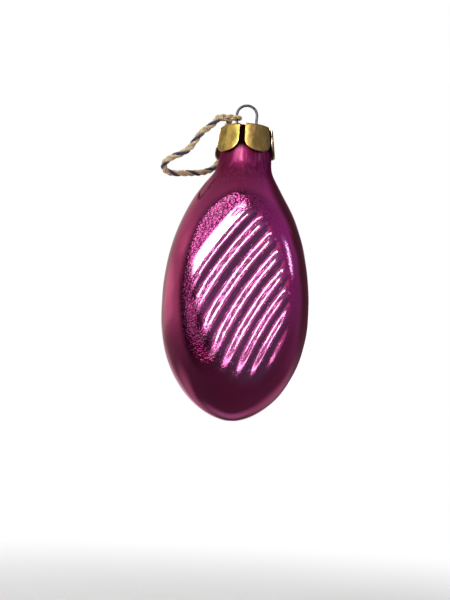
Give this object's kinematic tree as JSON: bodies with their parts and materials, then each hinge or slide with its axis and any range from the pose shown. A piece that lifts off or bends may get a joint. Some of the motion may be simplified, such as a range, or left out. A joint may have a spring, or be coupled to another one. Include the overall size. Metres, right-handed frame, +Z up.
{
  "type": "hanging glass ornament",
  "caption": "Drop-shaped silvered glass ornament with slanted flutes, a brass petal cap, a sprung wire eye and a loop of twine to hang it by.",
  "frame": {"origin": "hanging point, under the top of the wire eye, on the axis of the neck", "axes": "+Z up along the neck's axis, the fluted face looks along -Y, and the eye lies in the XZ plane"},
  "size_m": [0.0347, 0.0256, 0.0727],
  "materials": {
    "magenta_lacquer": "blown glass, silvered inside, with clear magenta lacquer outside",
    "stamped_brass": "thin stamped sheet, lightly tarnished, with bright cut edges",
    "spring_steel": "drawn wire, dull grey",
    "twisted_twine": "twisted natural twine with one dark strand"
  },
  "bodies": {
    "hanger": {"hanger_wire": "spring_steel"},
    "cap": {"cap": "stamped_brass"},
    "glass": {"glass_body": "magenta_lacquer"},
    "twine": {"twine_loop": "twisted_twine", "twine_knot": "twisted_twine"}
  },
  "joints": [
    {"name": "cap_pull", "type": "slide", "parent": "hanger", "child": "cap", "axis": [0, 0, -1], "range_m": [0, 0.014]},
    {"name": "glass_swivel", "type": "hinge", "parent": "cap", "child": "glass", "pos_m": [0, 0, -0.0061], "axis": [0, 0, 1], "continuous": true},
    {"name": "twine_swing", "type": "hinge", "parent": "hanger", "child": "twine", "pos_m": [-0.0023, 0, -0.00275], "axis": [0, 0, 1], "range_deg": [-45, 45]}
  ]
}
